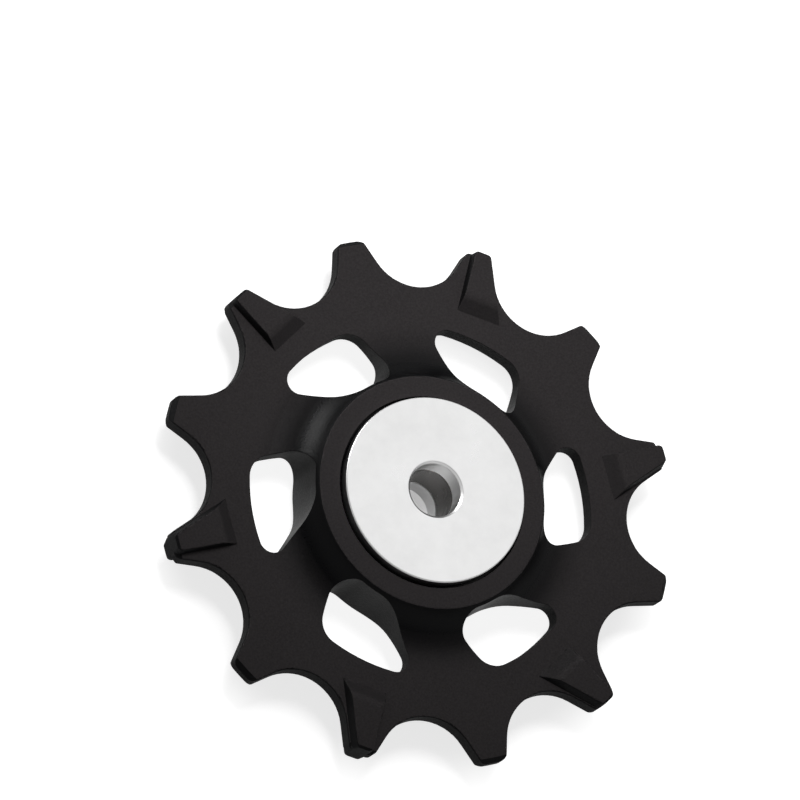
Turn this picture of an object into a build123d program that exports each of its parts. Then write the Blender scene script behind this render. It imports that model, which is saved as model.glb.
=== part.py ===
from build123d import *
import math
import os

# Jockey wheel of a rear derailleur: a twelve-tooth moulded wheel with alternate wide
# teeth, running on a sealed ball bearing between two turned covers.
# Millimetres. The origin is on the bore axis in the middle plane of the teeth, +Z runs
# along the bore out of the front cover, and +X runs out through the first wide tooth.

# Teeth
tooth_count = 12
roller_pitch = 12.7
roller_diameter = 7.75
roller_play = 0.2
gullet_radius = 4.8
flank_lean = 21.0
ledge_flank_lean = 18.0
tooth_addendum = 0.5
tip_corner = 0.75
tip_bevel = 0.42
tooth_edge_round = 0.14

# Web and the windows through it
web_thickness = 1.65
window_count = 6
rim_width = 3.65
window_land = 0.25
window_edge_offset = 6.55
window_slant = 40.0
window_slant_step = 1.15
window_hub_round = 5.0
window_top_round = 1.3
window_outer_round = 2.2
window_inner_round = 1.7

# Raised pads that widen every other tooth on both faces
pad_width = 3.4
pad_foot_radius = 19.0
pad_ramp_run = 1.45
pad_ramp_round = 1.8
pad_flank_inset = 0.15
pad_flank_draft = 0.3
pad_ledge_offset = 0.98
pad_ledge_draft = 0.12
pad_edge_round = 0.14
pad_tip_corner = 0.5
pad_tip_bevel = 0.2

# Boss
boss_radius = 11.0
flare_radius = 4.8
boss_edge_round = 0.2
seat_lip_thickness = 0.5
seat_lip_width = 0.7
seat_lead_in = 0.2
pocket_depth = 0.8

# Ball bearing. The thickness of a race and the diameter of a ball are shares of the
# distance from the axle bore to the outside of the bearing.
axle_bore_diameter = 5.0
bearing_diameter = 13.0
bearing_width = 4.0
race_corner = 0.2
race_share = 0.35
ball_share = 0.5
ball_count = 8
ball_play = 0.02
cage_sheet = 0.15
cage_side_play = 0.12
cage_ball_play = 0.04
rivet_diameter = 0.4
rivet_head_diameter = 0.66
rivet_head_height = 0.1
seal_thickness = 0.35
seal_depth = 0.15
seal_seat_width = 0.4
seal_lip_play = 0.1

# Covers
cover_diameter = 17.5
cover_thickness = 1.3
cover_side_play = 0.3
cover_floor_play = 0.3
cover_hub_step = 0.2
cover_edge_round = 0.12
cover_bore_corner = 0.2

# How near an edge lies to the place it is looked for
edge_match = 0.01

# Levels and radii that follow
pitch_radius = roller_pitch / 2 / math.sin(math.pi / tooth_count)
root_radius = pitch_radius - roller_diameter / 2 - roller_play
tip_radius = pitch_radius + tooth_addendum
seat_centre_radius = root_radius + gullet_radius
tooth_angle = 360 / tooth_count
web_face = web_thickness / 2
pad_face = pad_width / 2
bearing_face = bearing_width / 2
bearing_radius = bearing_diameter / 2
pocket_floor = bearing_face + seat_lip_thickness
boss_face = pocket_floor + pocket_depth
cover_inner_face = pocket_floor + cover_floor_play
cover_face = cover_inner_face + cover_thickness
cover_radius = cover_diameter / 2
pocket_radius = cover_radius + cover_side_play
bore_radius = axle_bore_diameter / 2
bearing_section = bearing_radius - bore_radius
inner_race_radius = bore_radius + race_share * bearing_section
outer_race_bore = bearing_radius - race_share * bearing_section
ball_radius = ball_share * bearing_section / 2
ball_circle = (inner_race_radius + outer_race_bore) / 2
groove_radius = ball_radius + ball_play
cover_hub_radius = inner_race_radius - cover_hub_step
seal_face = bearing_face - seal_depth
seal_seat_floor = seal_face - seal_thickness
seal_radius = outer_race_bore + seal_seat_width


def turned(outline):
    """Solid turned about the bore axis from a closed (radius, height) outline."""
    return revolve(Plane.XZ * make_face(outline), Axis.Z)


def ring(inner, outer, low, high):
    """Plain ring about the bore axis between two radii and two heights."""
    return turned(Polyline((inner, low), (outer, low), (outer, high), (inner, high), close=True))


def mirrored(shape):
    """The same shape on the rear side."""
    return mirror(shape, about=Plane.XY)


def both_sides(shape):
    """The shape and its mirror image in the middle plane."""
    return [shape, mirrored(shape)]


def circles_at(solid, radius, height):
    """Round edges of a turned solid at a radius and a height."""
    def lies_there(edge):
        near_height = abs(edge.center().Z - height) < edge_match
        return near_height and abs(edge.radius - radius) < edge_match
    return solid.edges().filter_by(GeomType.CIRCLE).filter_by(lies_there)


# Wheel

def gap_side(lean):
    """Ends of a straight flank of the gap on +X, at the roller seat and at the tips."""
    half_angle = math.radians(180 / tooth_count + lean)
    start = Vector(
        seat_centre_radius - gullet_radius * math.sin(half_angle),
        gullet_radius * math.cos(half_angle),
    )
    along = Vector(math.cos(half_angle), math.sin(half_angle))
    drift = start.dot(along)
    run = math.sqrt(drift**2 + tip_radius**2 - start.dot(start)) - drift
    return start, start + along * run


def tooth_outline():
    """Face with all the teeth, with the first tooth on +X."""
    start, tip = gap_side(flank_lean)
    start_below, tip_below = (Vector(point.X, -point.Y) for point in gap_side(ledge_flank_lean))
    half_gap = tooth_angle / 2
    tooth_middle = Vector(tip_radius, 0).rotate(Axis.Z, half_gap)
    next_tip = tip_below.rotate(Axis.Z, tooth_angle)
    one_pitch = (
        Line(tip_below, start_below)
        + ThreePointArc(start_below, (root_radius, 0), start)
        + Line(start, tip)
        + ThreePointArc(tip, tooth_middle, next_tip)
    )
    edges = []
    for index in range(tooth_count):
        edges += (Rot(0, 0, half_gap + tooth_angle * index) * one_pitch).edges()
    outline = make_face(edges)
    tips = outline.vertices().filter_by(lambda vertex: Vector(vertex).length > tip_radius - tip_corner)
    return fillet(tips, tip_corner)


def flared_blank():
    """Web and boss, with the curved flare between them."""
    centre_height = web_face + flare_radius
    rise = centre_height - boss_face
    reach = math.sqrt(flare_radius**2 - rise**2)
    centre_radius = boss_radius + reach
    middle_angle = (math.atan2(rise, reach) + math.pi / 2) / 2
    middle = (
        centre_radius - flare_radius * math.cos(middle_angle),
        centre_height - flare_radius * math.sin(middle_angle),
    )
    rim = seat_centre_radius + gullet_radius
    flare_foot = (centre_radius, web_face)
    boss_edge = (boss_radius, boss_face)
    flats = Polyline(flare_foot, (rim, web_face), (rim, 0), (0, 0), (0, boss_face), boss_edge)
    half = turned(flats + ThreePointArc(boss_edge, middle, flare_foot))
    half = fillet(circles_at(half, boss_radius, boss_face), boss_edge_round)
    return half + mirrored(half)


def tip_bevel_cutter(face_height, size):
    """Ring that bevels the tips of the teeth where they meet a face at the height."""
    outline = Polyline(
        (tip_radius - size, face_height),
        (tip_radius + size, face_height - 2 * size),
        (tip_radius + size, face_height + size),
        (tip_radius - size, face_height + size),
        close=True,
    )
    return turned(outline)


def toothed_blank(outline):
    """Web, teeth and boss before the openings, with the edges of the teeth rounded."""
    def bounds_teeth(edge):
        on_face = abs(abs(edge.center().Z) - web_face) < edge_match
        return on_face and Vector(edge @ 0).length > root_radius - edge_match
    body = flared_blank() & extrude(outline, boss_face, both=True)
    body = fillet(body.edges().filter_by(bounds_teeth), tooth_edge_round)
    return body - both_sides(tip_bevel_cutter(web_face, tip_bevel))


def rounded_corner(face, place, radius):
    """The face with the corner nearest to a place rounded."""
    corner = face.vertices().sort_by_distance(place)[0]
    return fillet(corner, radius)


def window():
    """Outline of the window on +X: an arc at the rim, one at the boss and two slanted sides."""
    outer = root_radius - rim_width
    inner = boss_radius + window_land
    slant = math.radians(window_slant)
    along = Vector(math.cos(slant), math.sin(slant))
    crossing = Vector(boss_radius + window_slant_step, 0)
    sides = Polyline(
        crossing - along * (window_edge_offset / math.sin(slant)),
        crossing + along * outer,
        (2 * outer, -window_edge_offset),
        close=True,
    )
    band = Rot(0, 0, 180) * (Circle(outer) - Circle(inner))
    face = band & make_face(sides)
    drift = crossing.dot(along)
    aside = crossing.dot(crossing) - drift**2
    hub_corner = crossing + along * (math.sqrt(inner**2 - aside) - drift)
    top_corner = crossing + along * (math.sqrt(outer**2 - aside) - drift)
    outer_corner = Vector(math.sqrt(outer**2 - window_edge_offset**2), -window_edge_offset)
    inner_corner = Vector(math.sqrt(inner**2 - window_edge_offset**2), -window_edge_offset)
    face = rounded_corner(face, hub_corner, window_hub_round)
    face = rounded_corner(face, top_corner, window_top_round)
    face = rounded_corner(face, outer_corner, window_outer_round)
    return rounded_corner(face, inner_corner, window_inner_round)


def ramp_cutter():
    """Space over the ramp up to a pad. Past the rounded knee it climbs gently off the pad's top."""
    knee = Vector(pad_foot_radius + pad_ramp_run, pad_face)
    behind = pad_foot_radius - pad_width
    above = pad_face + pad_width
    outline = Polyline(
        (behind, web_face),
        (pad_foot_radius, web_face),
        knee,
        (tip_radius, pad_face + pad_edge_round),
        (tip_radius, above),
        (behind, above),
        close=True,
    )
    profile = rounded_corner(make_face(outline), knee, pad_ramp_round)
    return extrude(Plane.XZ * profile, tip_radius, both=True)


def tooth_pad():
    """Raised pad on the front of the wide tooth on +X, down to the middle plane."""
    lean = math.radians(flank_lean)
    half_gap = math.radians(tooth_angle / 2)
    flank_x = seat_centre_radius * math.cos(half_gap) - gullet_radius * math.sin(lean)
    flank_y = gullet_radius * math.cos(lean) - seat_centre_radius * math.sin(half_gap)
    outer = tip_radius + tip_bevel

    def flank_side(x, inset):
        return flank_y + (x - flank_x) * math.tan(lean) + inset / math.cos(lean)

    def section(flank_inset, ledge):
        sides = Polyline(
            (pad_foot_radius, flank_side(pad_foot_radius, flank_inset)),
            (outer, flank_side(outer, flank_inset)),
            (outer, ledge),
            (pad_foot_radius, ledge),
            close=True,
        )
        face = make_face(sides) & Circle(tip_radius)
        tips = face.vertices().filter_by(lambda vertex: Vector(vertex).length > tip_radius - pad_tip_corner)
        return fillet(tips, pad_tip_corner)

    foot = section(pad_flank_inset, pad_ledge_offset)
    head = section(pad_flank_inset + pad_flank_draft, pad_ledge_offset - pad_ledge_draft)
    raised = loft([Pos(0, 0, web_face) * foot, Pos(0, 0, pad_face) * head], ruled=True)
    raised = fillet(raised.faces().sort_by(Axis.Z)[-1].edges(), pad_edge_round)
    return raised + extrude(foot, web_face) - ramp_cutter()


def wheel():
    """Moulded wheel: teeth, web, pads, windows, boss, bearing seat and cover pockets."""
    outline = tooth_outline()
    pad_limit = extrude(outline, pad_face) - tip_bevel_cutter(pad_face, pad_tip_bevel)
    pads = both_sides(tooth_pad() & pad_limit)
    wide_teeth = range(0, tooth_count, 2)
    body = toothed_blank(outline)
    body += [Rot(0, 0, tooth_angle * index) * pad for index in wide_teeth for pad in pads]
    opening = extrude(window(), boss_face, both=True)
    body -= [Rot(0, 0, 360 / window_count * index) * opening for index in range(window_count)]
    seat = turned(Polyline(
        (0, -bearing_face),
        (bearing_radius, -bearing_face),
        (bearing_radius, pocket_floor - seat_lead_in),
        (bearing_radius + seat_lead_in, pocket_floor),
        (pocket_radius, pocket_floor),
        (pocket_radius, boss_face),
        (0, boss_face),
        close=True,
    ))
    rear_opening = ring(0, bearing_radius - seat_lip_width, -pocket_floor, 0)
    rear_pocket = ring(0, pocket_radius, -boss_face, -pocket_floor)
    return body - [seat, rear_opening, rear_pocket]


# Bearing

def ball_grooves():
    """Ring-shaped space that the balls run in."""
    return Torus(ball_circle, groove_radius)


def inner_race():
    """Inner race, with its corners broken and its groove."""
    race = ring(bore_radius, inner_race_radius, -bearing_face, bearing_face)
    corners = circles_at(race, bore_radius, -bearing_face) + circles_at(race, bore_radius, bearing_face)
    return chamfer(corners, race_corner) - ball_grooves()


def outer_race():
    """Outer race, with its corners broken, its groove and a seat for each seal."""
    race = ring(outer_race_bore, bearing_radius, -bearing_face, bearing_face)
    corners = (
        circles_at(race, bearing_radius, -bearing_face)
        + circles_at(race, bearing_radius, bearing_face)
    )
    seal_seat = ring(0, seal_radius, seal_seat_floor, bearing_face)
    return chamfer(corners, race_corner) - [ball_grooves()] - both_sides(seal_seat)


def seal():
    """Front seal, seated in the outer race with its lip clear of the inner one."""
    return ring(inner_race_radius + seal_lip_play, seal_radius, seal_seat_floor, seal_face)


def ball_places():
    """Centres of the balls, with the first on +X."""
    return PolarLocations(ball_circle, ball_count)


def rivet_places():
    """Middles of the lands between the balls."""
    return PolarLocations(ball_circle, ball_count, start_angle=180 / ball_count)


def cage_half():
    """Front half of the pressed cage: a flat ring with a domed pocket over each ball."""
    pocket = ball_radius + cage_ball_play
    inner = inner_race_radius + cage_side_play
    outer = outer_race_bore - cage_side_play
    band = ring(inner, outer, 0, pocket + cage_sheet)
    half = ring(inner, outer, 0, cage_sheet)
    half += [place * Sphere(pocket + cage_sheet) & band for place in ball_places()]
    half -= [place * Sphere(pocket) for place in ball_places()]
    rivet_hole = Cylinder(rivet_diameter / 2, cage_sheet * 2)
    return half - [place * rivet_hole for place in rivet_places()]


def cage_rivet():
    """One rivet through both halves of the cage, with a head on each side."""
    shank = Cylinder(rivet_diameter / 2, cage_sheet * 2)
    low_head = cage_sheet + rivet_head_height / 2
    head = Cylinder(rivet_head_diameter / 2, rivet_head_height)
    return shank + Pos(0, 0, low_head) * head + Pos(0, 0, -low_head) * head


# Covers

def cover():
    """Front cover: a turned disc whose hub stands on the inner race."""
    disc = ring(bore_radius, cover_radius, cover_inner_face, cover_face)
    disc = fillet(circles_at(disc, cover_radius, cover_face), cover_edge_round)
    disc = chamfer(circles_at(disc, bore_radius, cover_face), cover_bore_corner)
    return disc + ring(bore_radius, cover_hub_radius, bearing_face, cover_inner_face)


front_cover = cover()
front_seal = seal()
front_cage = cage_half()
rivet = cage_rivet()
ball = Sphere(ball_radius)

pieces = {
    "wheel": wheel(),
    "bearing_outer_race": outer_race(),
    "bearing_inner_race": inner_race(),
    "bearing_seal_front": front_seal,
    "bearing_seal_rear": mirrored(front_seal),
    "cage_front": front_cage,
    "cage_rear": mirrored(front_cage),
    "cage_rivets": Compound([place * rivet for place in rivet_places()]),
    "cover_front": front_cover,
    "cover_rear": mirrored(front_cover),
}
for number, place in enumerate(ball_places(), start=1):
    pieces[f"ball_{number}"] = place * ball

os.makedirs("parts", exist_ok=True)
for name, piece in pieces.items():
    export_step(piece, f"parts/{name}.step")
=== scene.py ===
import math

import bpy
from mathutils import Matrix, Vector


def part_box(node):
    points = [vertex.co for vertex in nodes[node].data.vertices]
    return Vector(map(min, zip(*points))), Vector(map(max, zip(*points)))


# A twelve-tooth jockey wheel lying flat on its rear cover on a white studio table.
# Lengths are in metres, angles in degrees and lamp powers in watts.

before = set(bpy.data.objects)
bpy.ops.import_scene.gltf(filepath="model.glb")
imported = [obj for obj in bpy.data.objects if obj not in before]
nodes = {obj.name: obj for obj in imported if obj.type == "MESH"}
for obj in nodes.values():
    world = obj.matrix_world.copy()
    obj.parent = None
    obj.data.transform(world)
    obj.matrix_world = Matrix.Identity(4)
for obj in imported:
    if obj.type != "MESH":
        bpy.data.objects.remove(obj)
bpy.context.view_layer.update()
scene = bpy.context.scene

# Heights from the middle plane of the teeth, and radii about the bore axis
TABLE_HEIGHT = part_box("cover_rear")[0].z
WEB_FACE = 0.000825
BOSS_FACE = 0.0033
COVER_RADIUS = 0.00875

# The camera: where the bore's middle stands in its axes, how it is turned, and its lens
BORE_FROM_CAMERA = (0.001711, -0.009293, -0.594222)
CAMERA_ROLL = -52.7
CAMERA_TILT = -28.32
CAMERA_AZIMUTH = 65.48
SENSOR_WIDTH_MM = 36
FOCAL_LENGTH_MM = 293.1
CLIP_RANGE = (0.01, 10)

# The table. Shown directly it is part lit and part glowing, so that it is white but keeps the
# wheel's shadow; the glow fades between two radii at a time. Its glow is partly painted light:
# stronger under the windows and away from the teeth, where it hides the wheel's shadow, and cut
# under the bore, where it is a painted shadow. The light it throws back on the wheel is a plain
# pale table's.
TABLE_HALF_WIDTH = 3.0
WINDOWS_TO_TEETH = (0.0165, 0.0195)
TEETH_TO_OPEN = (0.022, 0.0285)
GLOW_AT_WINDOWS = 0.88
GLOW_AT_TEETH = 0.76
PAINTED_LIGHT_ADDED_OUTSIDE = 0.28
GLOW_MIRRORED = 0.38
GLOW_SHARE_IN_PAINTED_BORE_SHADOW = 0.48
LIT_LEVEL = 0.42
LIT_LEVEL_MIRRORED = 0.62
PLAIN_LEVEL = 0.8

# The room, as its reflections show it: a dim ceiling, paler walls and one white panel
ROOM_LEVEL = 0.17
WALL_LEVEL = 0.55
WALL_FADE = (0.45, 0.80)
PANEL_DIRECTION = (0.62, 0.62, 0.48)
PANEL_FADE = (0.78, 0.955)
ROOM_LIGHT = 0.13

# Where most of a noise's values lie
NOISE_RANGE = (0.3, 0.7)


# Camera

def turn(axis, degrees):
    return Matrix.Rotation(math.radians(degrees), 4, axis)


to_camera = (
    Matrix.Translation(BORE_FROM_CAMERA)
    @ turn("Z", CAMERA_ROLL)
    @ turn("X", CAMERA_TILT)
    @ turn("Z", CAMERA_AZIMUTH)
)
camera_data = bpy.data.cameras.new("camera")
camera_data.sensor_width = SENSOR_WIDTH_MM
camera_data.lens = FOCAL_LENGTH_MM
camera_data.clip_start, camera_data.clip_end = CLIP_RANGE
camera = bpy.data.objects.new("camera", camera_data)
camera.matrix_world = to_camera.inverted()
camera_axes = camera.matrix_world.to_3x3()
scene.collection.objects.link(camera)
scene.camera = camera


# Shader nodes

def new_material(name):
    """A material with its node tree and its Principled shader, joined to the output."""
    material = bpy.data.materials.new(name)
    material.use_nodes = True
    tree = material.node_tree
    tree.nodes.clear()
    output = tree.nodes.new("ShaderNodeOutputMaterial")
    shader = tree.nodes.new("ShaderNodeBsdfPrincipled")
    tree.links.new(shader.outputs["BSDF"], output.inputs["Surface"])
    return material, tree, shader


def node(tree, kind, inputs=None, **settings):
    """A node with its settings; an input is a plain value or another node's output socket."""
    made = tree.nodes.new(kind)
    for name, value in settings.items():
        setattr(made, name, value)
    for name, value in (inputs or {}).items():
        if isinstance(value, bpy.types.NodeSocket):
            tree.links.new(value, made.inputs[name])
        else:
            made.inputs[name].default_value = value
    return made


def join(tree, shader, shade, rough, normal):
    """Joins a material's colour, roughness and normal to its shader."""
    tree.links.new(shade, shader.inputs["Base Color"])
    tree.links.new(rough, shader.inputs["Roughness"])
    tree.links.new(normal, shader.inputs["Normal"])


def grey(level):
    return (level, level, level, 1)


def position(tree):
    """The point in the object's own space, in metres."""
    return tree.nodes.new("ShaderNodeTexCoord").outputs["Object"]


def noise(tree, point, scale, detail=2.0, roughness=0.5):
    inputs = {"Vector": point, "Scale": scale, "Detail": detail, "Roughness": roughness}
    return node(tree, "ShaderNodeTexNoise", inputs).outputs["Fac"]


def remap(tree, value, source, target):
    """The value carried from one range to another, and held at its ends."""
    inputs = {
        "Value": value,
        "From Min": source[0],
        "From Max": source[1],
        "To Min": target[0],
        "To Max": target[1],
    }
    return node(tree, "ShaderNodeMapRange", inputs).outputs["Result"]


def smooth_step(tree, value, source, target):
    """As remap, with a soft start and end."""
    made = remap(tree, value, source, target)
    made.node.interpolation_type = "SMOOTHSTEP"
    return made


def arithmetic(tree, operation, first, second):
    return node(tree, "ShaderNodeMath", {0: first, 1: second}, operation=operation).outputs[0]


def blend(tree, factor, first, second):
    """Colour between two others by a factor."""
    mix = tree.nodes.new("ShaderNodeMix")
    mix.data_type = "RGBA"
    for index, value in ((0, factor), (6, first), (7, second)):
        if isinstance(value, bpy.types.NodeSocket):
            tree.links.new(value, mix.inputs[index])
        else:
            mix.inputs[index].default_value = value
    return mix.outputs[2]


def bump(tree, height, strength, depth, normal):
    """A normal with relief added to another normal."""
    inputs = {"Height": height, "Strength": strength, "Distance": depth, "Normal": normal}
    return node(tree, "ShaderNodeBump", inputs).outputs["Normal"]


def soft_edges(tree, radius):
    """Normal that rounds the sharp edges by a radius."""
    return node(tree, "ShaderNodeBevel", {"Radius": radius}, samples=6).outputs["Normal"]


def axis_distance(tree, point):
    """Distance from the bore axis."""
    parts = node(tree, "ShaderNodeSeparateXYZ", {0: point}).outputs
    flat = node(tree, "ShaderNodeCombineXYZ", {"X": parts["X"], "Y": parts["Y"]}).outputs[0]
    length = node(tree, "ShaderNodeVectorMath", {0: flat}, operation="LENGTH")
    return length.outputs["Value"]


def extent_along_axis(tree, vector):
    """Size of a point's or a normal's part along the bore axis."""
    along = node(tree, "ShaderNodeSeparateXYZ", {0: vector}).outputs["Z"]
    return arithmetic(tree, "ABSOLUTE", along, 0.0)


def turned_rings(tree, point, pitch):
    """Fine rings about the bore axis, as a turning tool leaves them."""
    rings = arithmetic(tree, "DIVIDE", axis_distance(tree, point), pitch)
    along = node(tree, "ShaderNodeCombineXYZ", {"X": rings}).outputs[0]
    return noise(tree, along, scale=1.0, detail=3.0, roughness=0.6)


# Materials

def moulded_plastic():
    """Black nylon: a fine matt grain on the faces and a shinier flare, with painted shade in the
    flare, deepest next to the boss, and on steep slopes and walls."""
    material, tree, shader = new_material("moulded_plastic")
    point = position(tree)
    radius = axis_distance(tree, point)
    level = extent_along_axis(tree, point)
    surface = tree.nodes.new("ShaderNodeNewGeometry").outputs["True Normal"]
    facing = extent_along_axis(tree, surface)

    # Where each place ends and the next begins: by how a face leans, by level and by radius
    wall_to_face = (0.70, 0.95)
    flare_to_boss_face = (BOSS_FACE - 0.0003, BOSS_FACE - 0.00005)
    web_to_flare = (WEB_FACE, WEB_FACE + 0.0007)
    teeth_to_windows = (0.0165, 0.0160)
    windows_to_boss = (0.0170, 0.0125)
    on_slope = smooth_step(tree, facing, wall_to_face, (1.0, 0.0))
    on_boss_face = remap(tree, level, flare_to_boss_face, (0.0, 1.0))
    above_web = smooth_step(tree, level, web_to_flare, (0.0, 1.0))
    inside_teeth = remap(tree, radius, teeth_to_windows, (0.0, 1.0))
    # Painted shade, deepening in the flare towards the boss
    near_boss = smooth_step(tree, radius, windows_to_boss, (0.0, 0.9))
    in_flare = arithmetic(tree, "MULTIPLY", above_web, inside_teeth)
    in_flare = arithmetic(tree, "MAXIMUM", in_flare, near_boss)
    in_flare = arithmetic(tree, "SUBTRACT", in_flare, on_boss_face)
    painted_shade = arithmetic(tree, "MAXIMUM", on_slope, in_flare)

    clouds = noise(tree, point, scale=180.0, detail=3.0)
    grain = noise(tree, point, scale=5200.0, detail=2.0, roughness=0.65)
    fine_grain = noise(tree, point, scale=14000.0, detail=1.0)
    grain_tips = remap(tree, grain, NOISE_RANGE, (0.0, 0.9))
    shade = blend(tree, clouds, (0.0160, 0.0142, 0.0147, 1), (0.0205, 0.0185, 0.0191, 1))
    shade = blend(tree, grain_tips, shade, (0.028, 0.0255, 0.0262, 1))
    # Painted shade: the colour turns near black in the flare, deepest next to the boss, and on
    # steep slopes and walls
    shade = blend(tree, painted_shade, shade, (0.002, 0.002, 0.0023, 1))

    gloss_in_flare = arithmetic(tree, "MULTIPLY", in_flare, 0.28)
    dullness_on_slope = arithmetic(tree, "MULTIPLY", on_slope, 0.08)
    rough = remap(tree, grain, NOISE_RANGE, (0.5, 0.6))
    rough = arithmetic(tree, "SUBTRACT", rough, gloss_in_flare)
    rough = arithmetic(tree, "ADD", rough, dullness_on_slope)

    normal = soft_edges(tree, radius=0.00014)
    normal = bump(tree, grain, strength=0.4, depth=0.00005, normal=normal)
    normal = bump(tree, fine_grain, strength=0.12, depth=0.00002, normal=normal)
    join(tree, shader, shade, rough, normal)
    shader.inputs["Specular IOR Level"].default_value = 0.09
    return material


def cover_aluminium():
    """Pale anodised aluminium, turned very finely and blasted satin."""
    material, tree, shader = new_material("cover_aluminium")
    point = position(tree)
    rings = turned_rings(tree, point, pitch=0.00009)
    specks = noise(tree, point, scale=5000.0, detail=3.0, roughness=0.6)
    clouds = noise(tree, point, scale=260.0, detail=2.0)
    mottle = noise(tree, point, scale=1100.0, detail=4.0, roughness=0.6)
    mottle = remap(tree, mottle, (0.35, 0.7), (0.0, 0.5))
    shade = blend(tree, clouds, grey(0.88), (0.92, 0.92, 0.915, 1))
    shade = blend(tree, mottle, shade, grey(0.84))
    rough = remap(tree, clouds, NOISE_RANGE, (0.27, 0.34))
    normal = soft_edges(tree, radius=0.0001)
    normal = bump(tree, rings, strength=0.05, depth=0.00002, normal=normal)
    normal = bump(tree, specks, strength=0.06, depth=0.00001, normal=normal)
    join(tree, shader, shade, rough, normal)
    shader.inputs["Metallic"].default_value = 1.0
    return material


def ground_steel(name, base, roughness, pitch):
    """Bearing steel, ground round the bore axis."""
    material, tree, shader = new_material(name)
    point = position(tree)
    rings = turned_rings(tree, point, pitch)
    clouds = noise(tree, point, scale=700.0, detail=3.0)
    darker = tuple(value * 0.9 for value in base)
    shade = blend(tree, clouds, darker + (1,), base + (1,))
    rough = remap(tree, clouds, NOISE_RANGE, roughness)
    normal = soft_edges(tree, radius=0.00006)
    normal = bump(tree, rings, strength=0.05, depth=0.00001, normal=normal)
    join(tree, shader, shade, rough, normal)
    shader.inputs["Metallic"].default_value = 1.0
    return material


def pressed_steel():
    """Thin cage strip with the soft marks of rolling and pressing."""
    material, tree, shader = new_material("pressed_steel")
    point = position(tree)
    marks = noise(tree, point, scale=2500.0, detail=3.0, roughness=0.6)
    clouds = noise(tree, point, scale=500.0, detail=2.0)
    shade = blend(tree, clouds, (0.42, 0.40, 0.37, 1), (0.52, 0.51, 0.49, 1))
    rough = remap(tree, marks, NOISE_RANGE, (0.3, 0.42))
    normal = soft_edges(tree, radius=0.00003)
    normal = bump(tree, marks, strength=0.08, depth=0.00001, normal=normal)
    join(tree, shader, shade, rough, normal)
    shader.inputs["Metallic"].default_value = 1.0
    return material


def seal_rubber():
    """Black rubber with a dull skin and a few paler dusty patches."""
    material, tree, shader = new_material("seal_rubber")
    point = position(tree)
    clouds = noise(tree, point, scale=600.0, detail=4.0, roughness=0.6)
    grain = noise(tree, point, scale=8000.0, detail=2.0)
    shade = blend(tree, clouds, (0.012, 0.012, 0.013, 1), (0.024, 0.023, 0.022, 1))
    rough = remap(tree, clouds, NOISE_RANGE, (0.55, 0.7))
    normal = soft_edges(tree, radius=0.00004)
    normal = bump(tree, grain, strength=0.15, depth=0.00002, normal=normal)
    join(tree, shader, shade, rough, normal)
    shader.inputs["Specular IOR Level"].default_value = 0.4
    return material


def dress(material, *names):
    """Gives CAD nodes their material."""
    for name in names:
        mesh = nodes[name].data
        mesh.materials.clear()
        mesh.materials.append(material)


ball_names = [name for name in nodes if name.startswith("ball_")]
race_steel = ground_steel(
    "race_steel", base=(0.15, 0.145, 0.14), roughness=(0.2, 0.28), pitch=0.00004
)
ball_steel = ground_steel(
    "ball_steel", base=(0.68, 0.68, 0.69), roughness=(0.04, 0.08), pitch=0.00004
)
dress(moulded_plastic(), "wheel")
dress(cover_aluminium(), "cover_front", "cover_rear")
dress(race_steel, "bearing_inner_race", "bearing_outer_race")
dress(ball_steel, *ball_names)
dress(pressed_steel(), "cage_front", "cage_rear", "cage_rivets")
dress(seal_rubber(), "bearing_seal_front", "bearing_seal_rear")


# Table and surroundings

def shown_directly(tree):
    """1 for a ray from the camera, off a glossy surface or through glass, otherwise 0."""
    path = tree.nodes.new("ShaderNodeLightPath").outputs
    shown = arithmetic(tree, "MAXIMUM", path["Is Camera Ray"], path["Is Glossy Ray"])
    return arithmetic(tree, "MAXIMUM", shown, path["Is Transmission Ray"])


def table_white(tree):
    """The table as it is shown directly. Its glow is weakest under the bore, a painted shadow, and
    otherwise at the teeth; the stronger glow under the windows and away from the teeth is painted
    light that hides the wheel's shadow there."""
    mirrored = tree.nodes.new("ShaderNodeLightPath").outputs["Is Glossy Ray"]
    from_axis = axis_distance(tree, position(tree))
    # Painted light: more glow under the windows and outside the teeth, which hides the wheel's
    # shadow there
    inner = smooth_step(tree, from_axis, WINDOWS_TO_TEETH, (GLOW_AT_WINDOWS, GLOW_AT_TEETH))
    outer = smooth_step(tree, from_axis, TEETH_TO_OPEN, (0.0, PAINTED_LIGHT_ADDED_OUTSIDE))
    # Painted shadow: less glow on the table under the bore
    bore_edge = (COVER_RADIUS - 0.001, COVER_RADIUS)
    bore = smooth_step(tree, from_axis, bore_edge, (GLOW_SHARE_IN_PAINTED_BORE_SHADOW, 1.0))
    strength = blend(tree, mirrored, arithmetic(tree, "ADD", inner, outer), grey(GLOW_MIRRORED))
    strength = arithmetic(tree, "MULTIPLY", strength, bore)
    lit_level = blend(tree, mirrored, grey(LIT_LEVEL), grey(LIT_LEVEL_MIRRORED))
    lit = node(tree, "ShaderNodeBsdfDiffuse", {"Color": lit_level})
    glow = node(tree, "ShaderNodeEmission", {"Color": grey(1), "Strength": strength})
    return node(tree, "ShaderNodeAddShader", {0: lit.outputs[0], 1: glow.outputs[0]})


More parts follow.
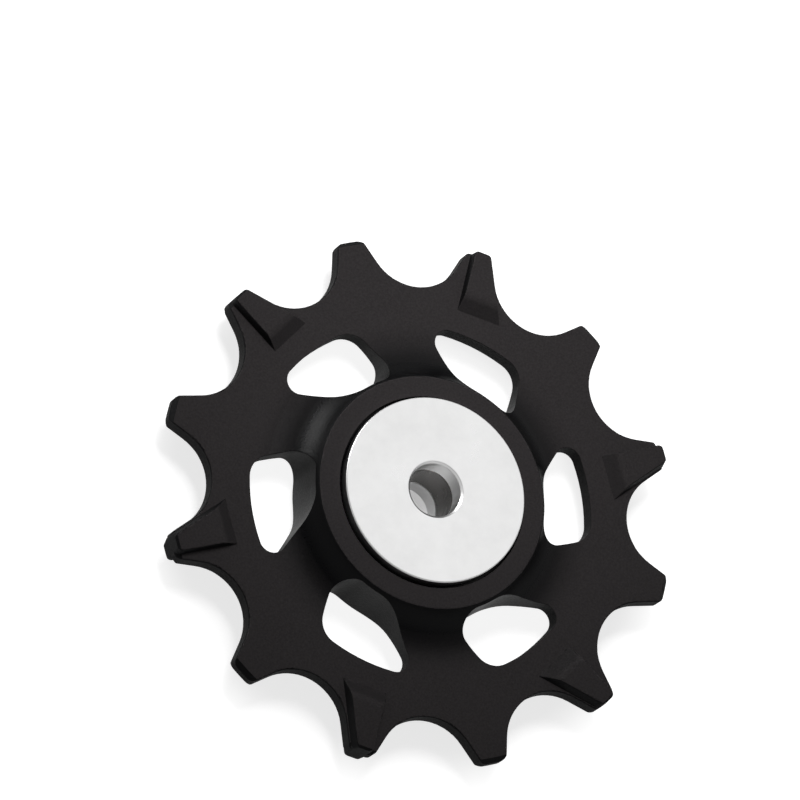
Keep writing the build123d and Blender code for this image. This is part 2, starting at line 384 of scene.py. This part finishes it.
def table():
    """A plain pale table under the rear cover, which shows white around the wheel."""
    size = TABLE_HALF_WIDTH
    corners = [(-size, -size), (size, -size), (size, size), (-size, size)]
    mesh = bpy.data.meshes.new("table")
    mesh.from_pydata([(x, y, TABLE_HEIGHT) for x, y in corners], [], [(0, 1, 2, 3)])
    made = bpy.data.objects.new("table", mesh)
    scene.collection.objects.link(made)
    material = bpy.data.materials.new("table")
    material.use_nodes = True
    tree = material.node_tree
    tree.nodes.clear()
    plain = node(tree, "ShaderNodeBsdfDiffuse", {"Color": grey(PLAIN_LEVEL)}).outputs[0]
    white = table_white(tree).outputs[0]
    mix = node(tree, "ShaderNodeMixShader", {0: shown_directly(tree), 1: plain, 2: white})
    node(tree, "ShaderNodeOutputMaterial", {"Surface": mix.outputs[0]})
    mesh.materials.append(material)


def surroundings():
    """A white panel high beyond the wheel, pale walls and a dim ceiling. The camera sees white."""
    world = bpy.data.worlds.new("studio")
    world.use_nodes = True
    tree = world.node_tree
    tree.nodes.clear()
    direction = tree.nodes.new("ShaderNodeTexCoord").outputs["Generated"]
    height = node(tree, "ShaderNodeSeparateXYZ", {0: direction}).outputs["Z"]
    wall = smooth_step(tree, height, WALL_FADE, (WALL_LEVEL, 0.0))
    middle = (camera_axes @ Vector(PANEL_DIRECTION)).normalized()
    nearness = node(
        tree, "ShaderNodeVectorMath", {0: direction, 1: middle}, operation="DOT_PRODUCT"
    )
    panel = smooth_step(tree, nearness.outputs["Value"], PANEL_FADE, (0.0, 1.0))
    lit = arithmetic(tree, "MAXIMUM", wall, panel)
    lit = remap(tree, lit, (0.0, 1.0), (ROOM_LEVEL, 1.0))
    from_camera = tree.nodes.new("ShaderNodeLightPath").outputs["Is Camera Ray"]
    seen = arithmetic(tree, "MAXIMUM", lit, from_camera)
    soft = node(tree, "ShaderNodeBackground", {"Color": grey(1), "Strength": ROOM_LIGHT})
    white = node(tree, "ShaderNodeBackground", {"Color": grey(1), "Strength": seen})
    shaders = {0: shown_directly(tree), 1: soft.outputs[0], 2: white.outputs[0]}
    mix = node(tree, "ShaderNodeMixShader", shaders)
    node(tree, "ShaderNodeOutputWorld", {"Surface": mix.outputs[0]})
    scene.world = world


def lamp(name, place, aim, size, spread, power):
    """A square lamp. Its place and aim are in the camera's axes, from the bore's middle."""
    data = bpy.data.lights.new(name, "AREA")
    data.shape = "SQUARE"
    data.size = size
    data.spread = math.radians(spread)
    data.energy = power
    made = bpy.data.objects.new(name, data)
    backwards = camera_axes @ (Vector(place) - Vector(aim))
    made.location = camera_axes @ Vector(place)
    made.rotation_mode = "QUATERNION"
    made.rotation_quaternion = backwards.to_track_quat("Z", "Y")
    scene.collection.objects.link(made)
    return made


table()
surroundings()

# The key lights the matt faces from above and isn't mirrored. The edge light is only mirrored,
# above all by the flare's upper left.
key = lamp(
    "key",
    place=(0.035, 0.10, 0.12),
    aim=(0.006, 0.029, 0.0),
    size=0.06,
    spread=50,
    power=0.0265,
)
key.visible_glossy = False
edge_light = lamp(
    "edge_light",
    place=(-0.18, 0.34, 0.11),
    aim=(0.0, 0.0, 0.0),
    size=0.2,
    spread=180,
    power=1.0,
)
edge_light.visible_diffuse = False

# View

scene.view_settings.view_transform = "Standard"
